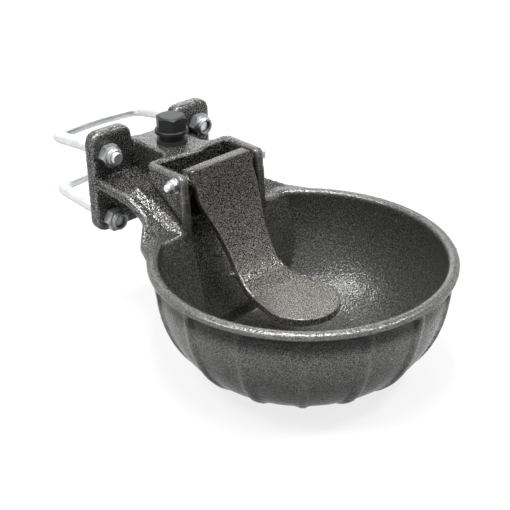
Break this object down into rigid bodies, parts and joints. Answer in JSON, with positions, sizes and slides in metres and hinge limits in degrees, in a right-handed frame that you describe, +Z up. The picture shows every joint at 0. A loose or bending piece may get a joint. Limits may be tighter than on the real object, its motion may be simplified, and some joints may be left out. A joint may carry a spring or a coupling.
{
  "type": "livestock drinking bowl",
  "caption": "Cast-iron drinking bowl for livestock with a hinged press tongue, a stem valve and U-bolts for clamping it to a post.",
  "frame": {"origin": "middle of the four bolt holes, on the back plane of the mounting plate", "axes": "+Y out of the plate's back, towards the post; +Z up; the bowl lies towards -Y, and +X is to the right of someone who faces the post"},
  "size_m": [0.23, 0.3752, 0.1593],
  "materials": {
    "casting_enamel": "charcoal hammertone enamel with pale speckle, glossy",
    "tongue_enamel": "charcoal hammertone enamel with pale speckle, glossy",
    "zinc_plate": "bright zinc plate",
    "nylon": "pale nylon",
    "black_plastic": "black moulded plastic, satin",
    "rubber": "black rubber",
    "brass": "machined brass",
    "spring_steel": "stainless spring wire"
  },
  "bodies": {
    "root": {"bowl_casting": "casting_enamel", "pivot_bolt": "zinc_plate", "pivot_washer_left": "zinc_plate", "pivot_washer_right": "zinc_plate", "pivot_nut": "zinc_plate", "pivot_nut_ring": "nylon", "valve_body": "brass", "valve_gasket": "rubber", "valve_spring": "spring_steel", "spring_retainer": "brass", "top_inlet_plug": "black_plastic", "plug_seal": "rubber", "upper_u_bolt": "zinc_plate", "lower_u_bolt": "zinc_plate", "lock_nut_upper_left": "zinc_plate", "lock_nut_upper_right": "zinc_plate", "lock_nut_lower_left": "zinc_plate", "lock_nut_lower_right": "zinc_plate", "lock_ring_upper_left": "nylon", "lock_ring_upper_right": "nylon", "lock_ring_lower_left": "nylon", "lock_ring_lower_right": "nylon"},
    "paddle": {"paddle": "tongue_enamel"},
    "valve_stem": {"valve_stem": "brass", "valve_seal": "rubber"}
  },
  "joints": [
    {"name": "tongue_hinge", "type": "hinge", "parent": "root", "child": "paddle", "pos_m": [0, -0.0897, 0.0246], "axis": [1, 0, 0], "range_deg": [0, 7]},
    {"name": "stem_slide", "type": "slide", "parent": "root", "child": "valve_stem", "axis": [0, 1, 0], "range_m": [0, 0.0036], "stiffness_N_per_m": 2500, "springref_m": -0.005, "deforming": ["valve_spring"]}
  ],
  "couplings": [
    {"joint": "stem_slide", "follows": "tongue_hinge", "m_per_rad": 0.0291}
  ]
}
